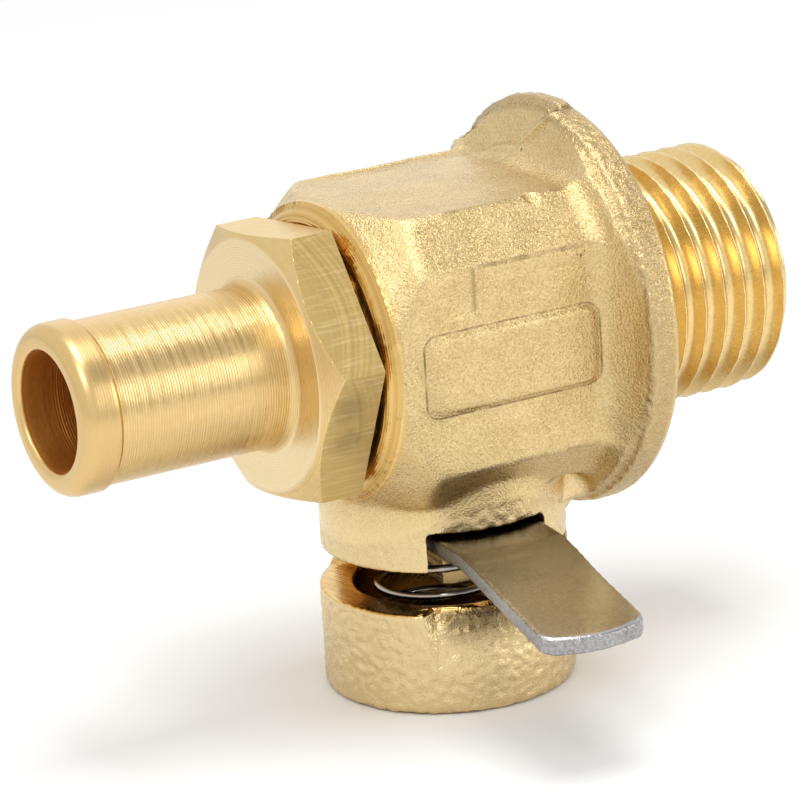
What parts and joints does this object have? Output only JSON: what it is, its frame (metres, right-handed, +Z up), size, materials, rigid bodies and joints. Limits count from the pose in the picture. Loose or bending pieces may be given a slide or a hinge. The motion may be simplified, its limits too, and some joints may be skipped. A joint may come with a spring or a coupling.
{
  "type": "oil drain valve",
  "caption": "Brass quarter-turn ball valve that replaces an oil pan's drain plug, with a threaded flanged end, a hose nipple and a spring-locked lever under the body.",
  "frame": {"origin": "centre of the flange's sealing face, on the axis of the oil passage", "axes": "+X along the oil passage towards the engine thread, -X towards the hose nipple, +Z up, lever boss down, lever handle towards -Y"},
  "size_m": [0.0491, 0.0342, 0.0361],
  "materials": {
    "cast_brass": "forged, fine grain, satin",
    "turned_brass": "turned, fine rings",
    "stainless_sheet": "satin",
    "spring_steel": "drawn wire",
    "ball_plating": "polished",
    "seat_plastic": "smooth",
    "seal_rubber": "matt"
  },
  "bodies": {
    "valve": {"valve_body": "cast_brass", "hose_nipple": "turned_brass", "nipple_o_ring": "seal_rubber", "seat_inlet": "seat_plastic", "seat_outlet": "seat_plastic", "end_plug": "turned_brass", "spring": "spring_steel"},
    "rotor": {"stem": "turned_brass", "ball": "ball_plating", "stem_o_ring": "seal_rubber", "thrust_washer": "seat_plastic"},
    "lever": {"lever": "stainless_sheet"}
  },
  "joints": [
    {"name": "lever_turn", "type": "hinge", "parent": "valve", "child": "rotor", "pos_m": [-0.01015, 0, 0], "axis": [0, 0, 1], "range_deg": [-2, 2]},
    {"name": "lever_press", "type": "slide", "parent": "rotor", "child": "lever", "axis": [0, 0, -1], "range_m": [0, 0.0036], "stiffness_N_per_m": 1500, "springref_m": -0.002, "deforming": ["spring"]}
  ]
}
